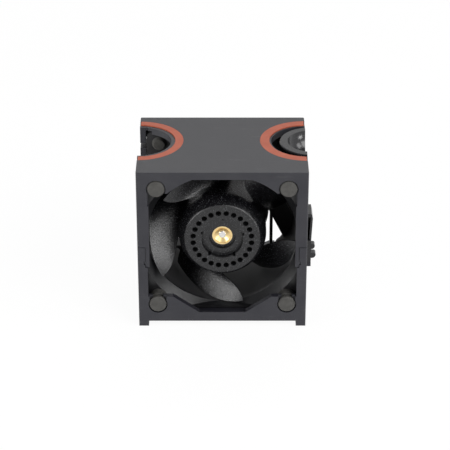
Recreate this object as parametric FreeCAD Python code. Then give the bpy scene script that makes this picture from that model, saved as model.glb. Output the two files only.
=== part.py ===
import FreeCAD, Part
import math
import os
from FreeCAD import Vector

# Hot-plug server fan module, in millimetres.  +Z is up and +Y is the way the air leaves.
# The origin is the middle of the foot plane, straight under the fan axis.

# ---- fan -----------------------------------------------------------------
FAN_SIDE = 60.0          # square of the fan frame
FAN_DEPTH = 38.0         # inlet face to outlet face
PIN_INSET = 5.0          # pin centres to the edges of the frame
RIM_WALL = 1.0           # wall where the bore comes nearest to the frame's edge
BARREL_WALL = 1.2
FLANGE_THICK = 3.5
FLANGE_CORNER = 3.0
FLARE_WIDE = 3.0         # how far the inlet flare opens beyond the bore
FLARE_DEEP = 4.0
FLARE_RIM = 0.9          # wall left in front of the flare along the frame's straight edges
OUTLET_FLARE = 1.5
TIP_GAP = 0.7            # blade tip to bore

PIN_PITCH = FAN_SIDE - 2 * PIN_INSET
PIN_OFF = PIN_PITCH / 2
BORE_RADIUS = FAN_SIDE / 2 - RIM_WALL
FAN_FACE = FAN_DEPTH / 2            # fan face, front and rear

# ---- housing -------------------------------------------------------------
SIDE_WALL = 2.2
SIDE_GAP = 0.3           # fan frame to side wall
TOP_WALL = 1.6
TOP_GAP = 0.4
FLOOR_WALL = 2.0
FLOOR_GAP = 0.4
FOOT_DROP = 2.5          # the side rails stand this far below the floor
END_GAP = 6.0            # fan face to module face, bridged by the isolator pins
PANEL_THICK = 2.5
SILL_THICK = 0.9         # the front sill is thinned from behind between its pins
EDGE_ROUND = 0.6
TOP_ROUND = 0.3
PARTING_GROOVE = 0.25

WIDTH = FAN_SIDE + 2 * (SIDE_GAP + SIDE_WALL)
DEPTH = FAN_DEPTH + 2 * END_GAP
FLOOR_TOP = FOOT_DROP + FLOOR_WALL
AXIS_Z = FLOOR_TOP + FLOOR_GAP + FAN_SIDE / 2
HEIGHT = AXIS_Z + FAN_SIDE / 2 + TOP_GAP + TOP_WALL
FACE = DEPTH / 2                    # module face, front and rear
INNER_X = WIDTH / 2 - SIDE_WALL     # inside of the side walls

# edges of the end panels, measured from the fan axis
BAND_EDGE = BORE_RADIUS + 0.1       # lower edge of the cover's front band
COVER_ARC = BORE_RADIUS + 2.2       # arc that clears the bore in the cover's corners
COVER_LEDGE = PIN_OFF - 1.7         # the cover's arcs end here, under its pins
BRACKET_LEDGE = PIN_OFF - 3.5       # the bracket's ledges beside its pins
REAR_LEDGE = PIN_OFF - 1.2          # the bracket's rear half stops lower
SILL_EDGE = BORE_RADIUS - 0.5       # upper edge of the bracket's front sill
SILL_FLAT = 18.0                    # level part of the sill
SILL_SLOPE = 10.1                   # each slope from there up to the ledge, along X
COVER_POST = 4.55                   # post width above the parting line
BRACKET_POST = 3.8

# snap tongues of the cover, inside the bracket's posts
TONGUE_THICK = 1.5
TONGUE_DROP = 8.6
TONGUE_SET_BACK = 0.4
TONGUE_GAP = 0.1
NIB = 0.5                # snap nib on each tongue
NIB_TALL = 1.2
NIB_BEVEL = 0.4

# isolator pins
PIN_HEAD_R = 3.3
PIN_HEAD_THICK = 1.3
PIN_HEAD_BEVEL = 0.3
PIN_NECK_R = 2.0
PIN_COLLAR_R = 3.6
PIN_SHANK_R = 2.1
PIN_BULB_R = 2.9
PIN_BULB_LONG = 1.6
PIN_GAP = 0.1
NECK_GAP = 0.05
NOTCH_GAP = 0.4          # air round each pin head
WEB_THICK = 1.1          # web that grips the pin's neck

# finger recesses and their coloured rings
RECESS_Y = 3.4
RING_OUTER_LEFT = 17.4
RING_OUTER_RIGHT = 17.9
RING_INNER = 14.3
RING_THICK = 0.9
RING_INSET = 0.4         # ring ends stop short of the side faces
RING_GAP = 0.05
LIP_DROP = 0.4
LIP_RADIUS_LEFT = 12.7
LIP_RADIUS_RIGHT = 13.6
COLLAR_THICK = 1.6
COLLAR_TALL = 3.0
COLLAR_GAP = 0.3         # collar to the fan's flanges
RECESS_STRAIGHT = 14.6   # straight depth of the side cut before its round bottom
REAR_SLOT_TOP = 7.1      # slot in the left wall, from the top face down
REAR_SLOT_TALL = 2.2

# thumb pad of the release latch, on the right side
PAD_X = WIDTH / 2 + 2.35
PAD_Y = 2.9
PAD_OUTER = 12.7
PAD_INNER = 9.6
PAD_RIM = 2.1
PAD_BEVEL = 0.3
PAD_DEEP = 12.1
PAD_BASE_R = 4.0         # flat underside of the thumb bowl
DISH_DEEP = 8.8
DISH_SKIN = 0.8          # the neck starts this far below the dish

# latch arm; heights with a sign are measured from the fan axis, reaches from the side wall
ARM_Y = 3.4
ARM_WIDE = 10.0          # carrier of the catch hooks
ARM_STAND = 0.6          # hook carrier off the side wall
ARM_SLOT_GAP = 0.5
NECK_WIDE = 8.4          # upper arm and its step out through the wall
NECK_INNER = WIDTH / 2 - 1.2
NECK_OUTER = WIDTH / 2 - 0.05
STEP_TOP = 2.0
STEP_LOW = 0.5
STEP_REACH = 3.2
STEP_BEVEL = 0.5
STRIP_THICK = 0.8        # springy strip between the step and the hook carrier
STRIP_RIB = 0.9          # rib that closes the strip's hollow at the rear
CARRIER_TOP = -9.5
CARRIER_REACH = 2.7
HOOK_TOP = -15.0
HOOK_TALL = 2.3
HOOK_WIDE = 2.8
HOOK_REACH = 1.9
HOOK_ROUND = 0.8
ROOT_RADIUS = 1.0
ROOT_GAP = 0.05
ROOT_DROP = 18.6         # fan axis down to the middle of the root
FOOT_DEEP = 2.5          # root middle to the underside of the foot
FOOT_TOP = 0.6           # root middle to the top of the foot
LATCH_ANGLE = 2.6        # degrees of travel
WINDOW_SHARE = 0.7       # the window behind the arm starts at this share of the height where they would meet

ROOT_Z = AXIS_Z - ROOT_DROP
ROOT_X = WIDTH / 2 + ARM_STAND + ROOT_RADIUS

# ---- fan, depths from its middle plane ------------------------------------
# motor base, struts and the board in it
BASE_RADIUS = 18.4
BASE_WALL = 1.2
BASE_DEEP = 11.7
BASE_PLATE = 3.0
BOARD_DEEP = 11.0        # front of the board to the outlet face
BOARD_THICK = 1.2
BOARD_GAP = 0.15
BOSS_WALL = 1.4
BOSS_GAP = 0.8           # boss round the bearing tube to the board
STRUTS = 4
STRUT_THICK = 1.1
STRUT_DEEP = 7.0
STRUT_OFFSET = 19.7      # struts leave the base on tangents at this distance from the axis
STRUT_STUB = 2.5
CHANNEL_WIDE = 7.5       # wide strut that carries the motor leads
CHANNEL_OFFSET = 15.5
CHANNEL_TURN = -26.0
CHANNEL_ROOT = 4.0
CHANNEL_WALL = 1.2
CHANNEL_DEEP = 3.0

BASE_FRONT = FAN_FACE - BASE_DEEP
BOARD_FRONT = FAN_FACE - BOARD_DEEP

# hub
BLADES = 5
HUB_RADIUS = 17.1
HUB_TAPER = 2.6          # the flat of the nose is this much smaller than the hub
HUB_SET_BACK = 0.9       # nose behind the inlet face
HUB_FLANK = 6.5          # the nose curves out to the full radius over this length
HUB_NOSE_ROUND = 1.0
HUB_GAP = 0.8            # hub to the motor base
HUB_WALL = 1.5
HUB_FLOOR = 2.2
HUB_RECESS_R = 8.0
HUB_RECESS_DEEP = 2.0
HUB_LIP = 0.3            # raised ring along the foot of the recess wall
BUSH_WELL = 1.2          # well round the bush
VENT_R = 0.62            # five small vents on the recess edge
VENT_RING_R = 8.15
VENT_DEEP = 3.4
VENT_START = 16.0
BALANCE_HOLES = 24
BALANCE_RING_R = 11.35
BALANCE_HOLE_R = 1.07
BALANCE_DEEP = 3.2

HUB_FACE_R = HUB_RADIUS - HUB_TAPER
HUB_FRONT = -FAN_FACE + HUB_SET_BACK
HUB_REAR = BASE_FRONT - HUB_GAP
CUP_FRONT = HUB_FRONT + HUB_RECESS_DEEP + HUB_FLOOR     # front of the room inside the hub
YOKE_RADIUS = HUB_RADIUS - HUB_WALL                     # the steel cup fills the hub

# blades; angles in degrees about the axis, from +X over the top
LEAD_ANGLE = 188.8       # leading edge at the hub
LEAD_SWEEP = 26.0        # its sweep from hub to tip
LEAD_CURL = 2.8          # how quickly the sweep is taken up from the hub on
TRAIL_ANGLE = 145.0
TRAIL_SWEEP = 13.5
LEAD_SET_BACK = 8.4      # leading edge behind the nose, at the hub
LEAD_RAKE = 13.7         # forward rake of the leading edge
LEAD_EASE = 5.1          # and how much of it is given back towards the tip
TRAIL_SET_IN = 1.0       # trailing edge in front of the hub's rear
TRAIL_RAKE = 2.0
CAMBER = 0.8             # growth of the camber from hub to tip
BLADE_ROOT = 0.12        # the blade starts this share of its span inside the hub
BLADE_EDGE = 0.35
BLADE_MID = 1.1
SPAN_STEPS = 5
CHORD_STEPS = 7

# shaft, bush and bearings
SHAFT_R = 1.5
SHAFT_BEVEL = 0.2
BUSH_R = 3.9
BUSH_SET_BACK = 3.3      # bush behind the nose
BUSH_LONG = 3.9
BUSH_DISH = 0.8          # depth of the dish round the shaft end
BUSH_RIM = 0.6
BUSH_STEP = 0.3
SHAFT_SET_BACK = 3.9     # shaft end behind the nose
BEARING_R = 4.0
BEARING_WIDE = 4.0
RACE_THICK = 0.75
BALL_R = 0.8
BALL_GAP = 0.03
BALL_SLOPE = 60.0        # flanks of the ball tracks, in degrees
BALLS = 7
WASHER_LONG = 1.1        # coned washer between the bush and the front bearing
WASHER_WIDE = 0.9
WASHER_THICK = 0.2
TUBE_WALL = 1.0
TUBE_STEP = 0.4          # shoulder that the bearings stand against
TUBE_SET_IN = 2.0        # rear end of the bearing tube to the outlet face
TUBE_OVERHANG = 0.4      # front end of the tube before the front bearing
CAP_SET_IN = 0.1
CAP_PLUG = 0.7
CAP_GAP = 0.05
CAP_FIT = 0.1
REAR_BEARING_SET_IN = 9.0
SHAFT_SET_IN = 3.1       # rear end of the shaft to the outlet face
GROOVE_DEEP = 0.35       # groove of the retaining ring
GROOVE_WIDE = 0.6
CLIP_WALL = 1.4
CLIP_THICK = 0.5
CLIP_GAP = 0.05
CLIP_SPLIT = 1.4
BEARING_PLAY = 0.1       # rear bearing to the groove

SHAFT_FRONT = HUB_FRONT + SHAFT_SET_BACK
SHAFT_REAR = FAN_FACE - SHAFT_SET_IN
BUSH_FRONT = HUB_FRONT + BUSH_SET_BACK
BUSH_REAR = BUSH_FRONT + BUSH_LONG
FRONT_BEARING = BUSH_REAR + WASHER_LONG
REAR_BEARING = FAN_FACE - REAR_BEARING_SET_IN
TUBE_RADIUS = BEARING_R + TUBE_WALL
TUBE_FRONT = FRONT_BEARING - TUBE_OVERHANG
TUBE_REAR = FAN_FACE - TUBE_SET_IN
BALL_CIRCLE = (SHAFT_R + BEARING_R) / 2
GROOVE_FRONT = REAR_BEARING + BEARING_WIDE + BEARING_PLAY

# motor
YOKE_THICK = 0.9
YOKE_SET_IN = 0.3        # rear edge of the steel cup inside the hub
YOKE_HOLE_GAP = 1.5      # hole in the cup's floor round the bush
MAGNET_THICK = 1.5
MAGNET_LONG = 12.0
AIR_GAP = 0.4
STATOR_SET_IN = 3.5      # rear of the lamination stack to the hub's rear
STATOR_LONG = 8.0
TEETH = 6
TOOTH_WIDE = 2.2
SHOE_THICK = 1.2
SHOE_SLOT = 2.0
CORE_RING = 2.2
INSULATOR_THICK = 1.4
INSULATOR_INSET = 0.3    # insulators stand back from the stack's outline
INSULATOR_BORE_GAP = 0.1
COIL_THICK = 1.1
COIL_ROUND = 0.88
COIL_GAP = 0.1           # coil to the sides of its tooth
COIL_END_GAP = 0.05      # and to the insulators
COIL_ROOT_GAP = 0.5      # and to the core ring
COIL_TIP_GAP = 0.3       # and to the pole shoes

STATOR_REAR = HUB_REAR - STATOR_SET_IN
STATOR_FRONT = STATOR_REAR - STATOR_LONG
MAGNET_RADIUS = YOKE_RADIUS - YOKE_THICK - MAGNET_THICK
CORE_RADIUS = MAGNET_RADIUS - AIR_GAP

# parts on the board: distance from the axis, width and length across it, height
SENSOR_SIZE = (2.0, 3.2, 1.0)
SENSOR_ANGLE = 30.0
SENSOR_REACH = 0.6       # sensor's middle inside the magnet's bore
DRIVER_RADIUS = 11.0
DRIVER_SIZE = (4.0, 5.0, 1.2)
DRIVER_ANGLE = 200.0
CAPACITOR_RADIUS = 11.5
CAPACITOR_SIZE = (2.4, 2.4, 2.6)
CAPACITOR_ANGLES = (100.0, 130.0)

# ---- power connector under the floor ---------------------------------------
PLUG_SET_IN = 10.0       # its middle to the outside of the side wall
PLUG_WIDE = 8.0
PLUG_LONG = 15.0
PLUG_TOP = 10.0
PLUG_LIFT = 0.3          # mouth above the foot plane
PLUG_SHOULDER = 1.2
PLUG_ROOF = 1.0
PLUG_FIT = 0.15
PLUG_COLLAR = 1.6
CONTACT_ROWS = 2
CONTACTS_PER_ROW = 3
CONTACT_PITCH = 3.6
CONTACT_CELL = 2.0
CONTACT_GAP = 0.1
CONTACT_THICK = 0.3
CONTACT_WIDE = 1.0
CONTACT_LIFT = 1.5       # contact ends above the plug's mouth
CONTACT_BRIDGE = 1.5     # height of the contact's closed end
CROSS_RIB = 2.4

PLUG_X = PLUG_SET_IN - WIDTH / 2

OVER = 1.0               # how far a cutter runs past what it cuts
TINY = 0.01              # tolerance when edges are picked by their size


# ---- small helpers -------------------------------------------------------
def block(x0, x1, y0, y1, z0, z1):
    """Box between two corners."""
    return Part.makeBox(x1 - x0, y1 - y0, z1 - z0, Vector(x0, y0, z0))


def rod(radius, y0, y1, x=0.0, z=AXIS_Z):
    """Cylinder along Y."""
    return Part.makeCylinder(radius, y1 - y0, Vector(x, y0, z), Vector(0, 1, 0))


def tube(outer, inner, y0, y1, x=0.0, z=AXIS_Z):
    """Hollow cylinder along Y."""
    return rod(outer, y0, y1, x, z).cut(rod(inner, y0 - OVER, y1 + OVER, x, z))


def post(radius, z0, z1, x, y):
    """Cylinder along Z."""
    return Part.makeCylinder(radius, z1 - z0, Vector(x, y, z0), Vector(0, 0, 1))


def turned(points, x=0.0, z=AXIS_Z):
    """Solid of revolution about the Y line through x, z.  Points are (radius, y)."""
    corners = [Vector(x + r, y, z) for r, y in points]
    face = Part.Face(Part.makePolygon(corners + corners[:1]))
    return face.revolve(Vector(x, 0, z), Vector(0, 1, 0), 360)


def mirrored(shape):
    """The same shape on the other side of the YZ plane."""
    return shape.mirror(Vector(0, 0, 0), Vector(1, 0, 0))


def flipped(shape):
    """The same shape at the other end of the module."""
    return shape.mirror(Vector(0, 0, 0), Vector(0, 1, 0))


def about_axis(shape, angle):
    """A copy turned about the fan axis."""
    copy = shape.copy()
    copy.rotate(Vector(0, 0, AXIS_Z), Vector(0, 1, 0), -angle)
    return copy


def ringed(shape, count, start=0.0):
    """Copies spread evenly round the fan axis."""
    return [about_axis(shape, start + 360.0 * i / count) for i in range(count)]


def joined(first, others):
    """One solid from touching shapes."""
    return first.fuse(others).removeSplitter()


def spun_arc(r0, h0, r1, h1):
    """Three points, as (radius, height), of an arc that leaves the first one parallel to the axis."""
    radius = ((r0 - r1) ** 2 + (h0 - h1) ** 2) / (2 * (r0 - r1))
    middle = r0 - radius
    angle = math.atan2(h0 - h1, r1 - middle) / 2
    return [(r0, h0), (middle + radius * math.cos(angle), h0 - radius * math.sin(angle)), (r1, h1)]


def edges(points, place):
    """Straight edges that join the points, each put in space by place."""
    corners = [place(*p) for p in points]
    return [Part.makeLine(a, b) for a, b in zip(corners, corners[1:])]


def bend(points, place):
    """Arc through three points, put in space by place."""
    return [Part.Arc(*[place(*p) for p in points]).toShape()]


def in_xz(x, z):
    """Point of the XZ plane."""
    return Vector(x, 0, z)


def in_xy(x, y):
    """Point of the XY plane."""
    return Vector(x, y, 0)


def pin_places(upper):
    """Pin centres on the upper or the lower half, as (x, z)."""
    z = AXIS_Z + PIN_OFF if upper else AXIS_Z - PIN_OFF
    return [(-PIN_OFF, z), (PIN_OFF, z)]


# ---- housing -------------------------------------------------------------
def outer_block():
    """Rounded outer form of the two shells together, without the feet."""
    body = block(-WIDTH / 2, WIDTH / 2, -FACE, FACE, FOOT_DROP, HEIGHT)
    body = body.makeFillet(EDGE_ROUND, [e for e in body.Edges if e.BoundBox.ZLength > HEIGHT / 2])
    return body.makeFillet(TOP_ROUND, [e for e in body.Edges if e.BoundBox.ZMin > HEIGHT - TINY])


def panel_cutter(x0, x1, z0, z1):
    """Box cutter through the thickness of the front panel."""
    return block(x0, x1, -FACE - OVER, -FACE + PANEL_THICK + OVER, z0, z1)


def cover_opening():
    """Air opening of the cover's end panel: straight posts, round corners and a level band."""
    inner = WIDTH / 2 - COVER_POST
    disc = rod(COVER_ARC, -FACE - OVER, -FACE + PANEL_THICK + OVER)
    disc = disc.common(panel_cutter(-inner, inner, 0, AXIS_Z + BAND_EDGE))
    return disc.fuse(panel_cutter(-inner, inner, 0, AXIS_Z + COVER_LEDGE))


def bracket_opening(ledge):
    """Air opening of the bracket's end panel: ledges beside the pins and a sloped, level sill."""
    inner = WIDTH / 2 - BRACKET_POST
    flat = SILL_FLAT / 2
    ledge_z = AXIS_Z - ledge
    sill_z = AXIS_Z - SILL_EDGE
    slope = flat + SILL_SLOPE
    outline = [(-inner, HEIGHT), (inner, HEIGHT), (inner, ledge_z), (slope, ledge_z), (flat, sill_z),
               (-flat, sill_z), (-slope, ledge_z), (-inner, ledge_z), (-inner, HEIGHT)]
    opening = Part.Face(Part.Wire(edges(outline, in_xz))).extrude(Vector(0, PANEL_THICK + 2 * OVER, 0))
    opening.translate(Vector(0, -FACE - OVER, 0))
    return opening


def sill_relief():
    """Cutter that thins the sill from behind, between the pins."""
    flat = SILL_FLAT / 2
    return block(-flat, flat, -FACE + SILL_THICK, -FACE + PANEL_THICK + OVER, FLOOR_TOP, AXIS_Z)


def pin_notches(upper):
    """Cutters for the stepped notches that hold the pins, open towards the fan axis."""
    sign = 1 if upper else -1
    cutters = []
    web_front = -FACE + PANEL_THICK - WEB_THICK
    for x, z in pin_places(upper):
        low, high = sorted((z, z - sign * 2 * PIN_COLLAR_R))
        cutters.append(rod(PIN_HEAD_R + NOTCH_GAP, -FACE - OVER, web_front, x, z))
        cutters.append(block(x - PIN_HEAD_R, x + PIN_HEAD_R, -FACE - OVER, web_front, low, high))
        neck = PIN_NECK_R + NECK_GAP
        cutters.append(rod(neck, web_front - OVER, -FACE + PANEL_THICK + OVER, x, z))
        cutters.append(block(x - neck, x + neck, web_front - OVER, -FACE + PANEL_THICK + OVER, low, high))
    return cutters


def end_panel(upper, ledge):
    """Front panel half of the cover (upper) or of the bracket (lower)."""
    low, high = (AXIS_Z, HEIGHT) if upper else (FOOT_DROP, AXIS_Z)
    panel = block(-WIDTH / 2, WIDTH / 2, -FACE, -FACE + PANEL_THICK, low, high)
    openings = [cover_opening()] if upper else [bracket_opening(ledge), sill_relief()]
    return panel.cut(openings + pin_notches(upper)).common(outer_block())


def tongue():
    """Right front tongue of the cover, with its snap nib."""
    inner = WIDTH / 2 - COVER_POST + TONGUE_GAP / 2
    outer = inner + TONGUE_THICK
    foot = AXIS_Z - TONGUE_DROP
    front = -FACE + TONGUE_SET_BACK
    strip = block(inner, outer, front, -FACE + PANEL_THICK, foot, AXIS_Z + OVER)
    nib_low = foot + NIB_TALL
    nib = block(outer - TONGUE_GAP, outer + NIB, front, -FACE + PANEL_THICK, nib_low, nib_low + NIB_TALL)
    low_edges = [e for e in nib.Edges if e.BoundBox.ZMax < nib_low + TINY]
    nib = nib.makeChamfer(NIB_BEVEL, [e for e in low_edges if e.BoundBox.XMin > outer + NIB / 2])
    return strip.fuse(nib)


def tongue_pocket():
    """Room for the right front tongue inside the bracket's post."""
    inner = WIDTH / 2 - COVER_POST - 1
    outer = WIDTH / 2 - COVER_POST + TONGUE_THICK + 1.5 * TONGUE_GAP
    foot = AXIS_Z - TONGUE_DROP - TONGUE_GAP
    pocket = block(inner, outer, -FACE - OVER, -FACE + PANEL_THICK + TONGUE_GAP, foot, AXIS_Z + OVER)
    nib_low = foot + NIB_TALL
    notch = block(outer - OVER, outer + NIB, -FACE - OVER, -FACE + PANEL_THICK + TONGUE_GAP,
                  nib_low, nib_low + NIB_TALL + 2 * TONGUE_GAP)
    return pocket.fuse(notch)


def all_corners(shape):
    """A right front feature repeated at the four corners."""
    pair = [shape, mirrored(shape)]
    return pair + [flipped(s) for s in pair]


def recess_cutter(side, lip):
    """Finger hole through the top and the side wall, round at its bottom."""
    x = side * WIDTH / 2
    hole = post(lip, AXIS_Z, HEIGHT + OVER, x, RECESS_Y)
    hole = hole.common(block(-WIDTH, WIDTH, -DEPTH, DEPTH, HEIGHT - COLLAR_TALL - OVER, HEIGHT + OVER))
    low = HEIGHT - RECESS_STRAIGHT
    x0, x1 = sorted((side * (INNER_X - OVER), side * (WIDTH / 2 + OVER)))
    straight = block(x0, x1, RECESS_Y - lip, RECESS_Y + lip, low, HEIGHT + OVER)
    bottom = Part.makeCylinder(lip, x1 - x0, Vector(x0, RECESS_Y, low), Vector(1, 0, 0))
    return hole.fuse([straight, bottom])


def recess_collar(side, lip):
    """Short collar that stiffens the edge of a finger hole under the top plate."""
    x = side * WIDTH / 2
    z0 = HEIGHT - COLLAR_TALL
    collar = post(lip + COLLAR_THICK, z0, HEIGHT - TOP_WALL / 2, x, RECESS_Y)
    collar = collar.cut(post(lip, z0 - OVER, HEIGHT, x, RECESS_Y))
    rear = FAN_FACE - FLANGE_THICK - COLLAR_GAP
    x0, x1 = sorted((side * FAN_SIDE / 8, side * (WIDTH / 2 - EDGE_ROUND)))
    return collar.common(block(x0, x1, -rear, rear, z0, HEIGHT))


def ring_seat(side, outer):
    """Cutter for the ring's rebate and for the lowered lip inside it."""
    x = side * WIDTH / 2
    seat = post(outer + RING_GAP, HEIGHT - RING_THICK, HEIGHT + OVER, x, RECESS_Y)
    seat = seat.cut(post(RING_INNER - RING_GAP, HEIGHT - RING_THICK - OVER, HEIGHT + 2 * OVER, x, RECESS_Y))
    lip_cut = post(RING_INNER, HEIGHT - LIP_DROP, HEIGHT + OVER, x, RECESS_Y)
    return seat.fuse(lip_cut)


def latch_window(z0, z1):
    """Cutter that lets the latch arm swing in through the right wall."""
    half = ARM_WIDE / 2 + ARM_SLOT_GAP
    return block(INNER_X - OVER, WIDTH / 2 + OVER, ARM_Y - half, ARM_Y + half, z0, z1)


def upper_cover():
    """Top plate, upper side walls and upper end panels, moulded in one."""
    shell = outer_block().common(block(-WIDTH, WIDTH, -DEPTH, DEPTH, AXIS_Z, HEIGHT + OVER))
    room = block(-INNER_X, INNER_X, -DEPTH, DEPTH, AXIS_Z - OVER, HEIGHT - TOP_WALL)
    shell = shell.cut(room)
    ends = end_panel(True, COVER_LEDGE)
    shell = shell.fuse([ends, flipped(ends)])
    shell = shell.fuse([recess_collar(-1, LIP_RADIUS_LEFT), recess_collar(1, LIP_RADIUS_RIGHT)])
    shell = shell.fuse(all_corners(tongue()))
    groove_in = block(-WIDTH / 2 + PARTING_GROOVE, WIDTH / 2 - PARTING_GROOVE, -FACE + PARTING_GROOVE,
                      FACE - PARTING_GROOVE, AXIS_Z - OVER, AXIS_Z + OVER)
    groove = block(-WIDTH, WIDTH, -DEPTH, DEPTH, AXIS_Z, AXIS_Z + PARTING_GROOVE).cut(groove_in)
    rear_slot = block(-WIDTH / 2 - OVER, -INNER_X, RECESS_Y, FACE + OVER,
                      HEIGHT - REAR_SLOT_TOP - REAR_SLOT_TALL, HEIGHT - REAR_SLOT_TOP)
    cutters = [recess_cutter(-1, LIP_RADIUS_LEFT), recess_cutter(1, LIP_RADIUS_RIGHT)]
    cutters += [ring_seat(-1, RING_OUTER_LEFT), ring_seat(1, RING_OUTER_RIGHT)]
    cutters += [groove, rear_slot, latch_window(AXIS_Z - OVER, HEIGHT - RECESS_STRAIGHT)]
    return shell.cut(cutters).removeSplitter()


def touch_ring(side, outer):
    """Coloured half ring let into the top round one finger recess."""
    x = side * WIDTH / 2
    ring = post(outer, HEIGHT - RING_THICK, HEIGHT, x, RECESS_Y)
    ring = ring.cut(post(RING_INNER, HEIGHT - RING_THICK - OVER, HEIGHT + OVER, x, RECESS_Y))
    x0, x1 = sorted((0.0, side * (WIDTH / 2 - RING_INSET)))
    return ring.common(block(x0, x1, -DEPTH, DEPTH, 0, HEIGHT + OVER))


def latch_foot():
    """Root of the latch arm on the bracket's right wall, with the round seat it bends in."""
    half = ARM_WIDE / 2
    outer = WIDTH / 2 + CARRIER_REACH
    foot = block(WIDTH / 2 - OVER, outer, ARM_Y - half, ARM_Y + half, ROOT_Z - FOOT_DEEP, ROOT_Z - FOOT_TOP)
    return foot.cut(rod(ROOT_RADIUS + ROOT_GAP, ARM_Y - half - OVER, ARM_Y + half + OVER, ROOT_X, ROOT_Z))


def side_rails():
    """Foot rails under both side walls, the cross rib and the collar round the connector."""
    rail = block(WIDTH / 2 - BRACKET_POST, WIDTH / 2, -FACE, FACE, 0, FLOOR_TOP)
    ends = [e for e in rail.Edges if e.BoundBox.ZMax < TINY and e.BoundBox.YLength < TINY]
    upright = [e for e in rail.Edges if abs(e.BoundBox.ZLength - FLOOR_TOP) < TINY]
    sides = [e for e in upright if e.BoundBox.XMin > INNER_X]
    rail = rail.makeFillet(EDGE_ROUND, ends + sides)
    rib = block(-INNER_X, INNER_X, -CROSS_RIB / 2, CROSS_RIB / 2, 0, FLOOR_TOP)
    wide = PLUG_WIDE / 2 + PLUG_COLLAR
    long = PLUG_LONG / 2 + PLUG_COLLAR
    collar = block(PLUG_X - wide, PLUG_X + wide, -long, long, 0, FLOOR_TOP)
    return [rail, mirrored(rail), rib, collar]


def lower_bracket():
    """Floor, lower side walls, rails and lower end panels, moulded in one with the latch root."""
    shell = outer_block().common(block(-WIDTH, WIDTH, -DEPTH, DEPTH, 0, AXIS_Z))
    room = block(-INNER_X, INNER_X, -DEPTH, DEPTH, FLOOR_TOP, HEIGHT)
    shell = shell.cut(room)
    front = end_panel(False, BRACKET_LEDGE)
    rear = flipped(end_panel(False, REAR_LEDGE))
    shell = shell.fuse([front, rear] + side_rails() + [latch_foot()])
    wide = PLUG_WIDE / 2 + PLUG_FIT
    long = PLUG_LONG / 2 + PLUG_FIT
    plug_hole = block(PLUG_X - wide, PLUG_X + wide, -long, long, -1, FLOOR_TOP + OVER)
    rise = ARM_STAND / math.tan(math.radians(LATCH_ANGLE))
    window = latch_window(ROOT_Z + WINDOW_SHARE * rise, AXIS_Z + OVER)
    cutters = all_corners(tongue_pocket()) + [plug_hole, window]
    return shell.cut(cutters).removeSplitter()


def isolator_pin(x, z):
    """Rubber spool pin of the front: head, neck, collar, shank and pull-through bulb."""
    head_back = -FACE + PIN_HEAD_THICK
    collar_front = -FACE + PANEL_THICK + PIN_GAP
    flange_back = -FAN_FACE + FLANGE_THICK
    outline = [
        (0, -FACE), (PIN_HEAD_R - PIN_HEAD_BEVEL, -FACE), (PIN_HEAD_R, -FACE + PIN_HEAD_BEVEL),
        (PIN_HEAD_R, head_back),
        (PIN_NECK_R, head_back), (PIN_NECK_R, collar_front), (PIN_COLLAR_R, collar_front),
        (PIN_COLLAR_R, -FAN_FACE), (PIN_SHANK_R, -FAN_FACE), (PIN_SHANK_R, flange_back),
        (PIN_BULB_R, flange_back), (PIN_SHANK_R, flange_back + PIN_BULB_LONG),
        (0, flange_back + PIN_BULB_LONG),
    ]
    return turned(outline, x, z)


def front_pins():
    """The four inlet-side pins."""
    return [isolator_pin(x, z) for upper in (True, False) for x, z in pin_places(upper)]


# ---- release latch -------------------------------------------------------
def thumb_pad():
    """Open half bowl under the top plate that the finger pulls on."""
    rim_low = HEIGHT - PAD_RIM
    base = HEIGHT - PAD_DEEP
    floor = HEIGHT - DISH_DEEP
    edge = PAD_OUTER - PAD_BEVEL
    rim = [(PAD_INNER, HEIGHT), (edge, HEIGHT), (PAD_OUTER, HEIGHT - PAD_BEVEL), (PAD_OUTER, rim_low)]
    lines = edges(rim, in_xz) + bend(spun_arc(PAD_OUTER, rim_low, PAD_BASE_R, base), in_xz)
    lines += edges([(PAD_BASE_R, base), (0, base), (0, floor)], in_xz)
    lines += bend(spun_arc(PAD_INNER, HEIGHT, 0, floor), in_xz)
    bowl = Part.Face(Part.Wire(lines)).revolve(Vector(0, 0, 0), Vector(0, 0, 1), 360)
    bowl.translate(Vector(PAD_X, PAD_Y, 0))
    return bowl.common(block(0, WIDTH / 2, -DEPTH, DEPTH, 0, HEIGHT + OVER))


def plate_across(lines, y0, y1):
    """Closed outline in the XZ plane made into a plate from y0 to y1."""
    shape = Part.Face(Part.Wire(lines)).extrude(Vector(0, y1 - y0, 0))
    shape.translate(Vector(0, y0, 0))
    return shape


def latch_neck():
    """Upper arm under the bowl, its step out through the wall and the strip down to the hooks."""
    top = HEIGHT - DISH_DEEP - DISH_SKIN
    outer = WIDTH / 2 + STEP_REACH
    low = AXIS_Z + STEP_LOW
    end = AXIS_Z + CARRIER_TOP - OVER
    face = WIDTH / 2 + CARRIER_REACH
    corners = [
        (NECK_INNER, top), (NECK_OUTER, top), (NECK_OUTER, AXIS_Z + STEP_TOP),
        (outer - STEP_BEVEL, AXIS_Z + STEP_TOP),
        (outer, low - STEP_BEVEL), (face, end), (face - STRIP_THICK, end), (outer - STRIP_THICK, low),
        (NECK_INNER, low), (NECK_INNER, top),
    ]
    rib_corners = [(WIDTH / 2 + ARM_STAND, low), (outer - STRIP_THICK, low), (face - STRIP_THICK, end),
                   (WIDTH / 2 + ARM_STAND, end), (WIDTH / 2 + ARM_STAND, low)]
    rear = ARM_Y + NECK_WIDE / 2
    neck = plate_across(edges(corners, in_xz), ARM_Y - NECK_WIDE / 2, rear)
    return neck.fuse(plate_across(edges(rib_corners, in_xz), rear - STRIP_RIB, rear))


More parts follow.
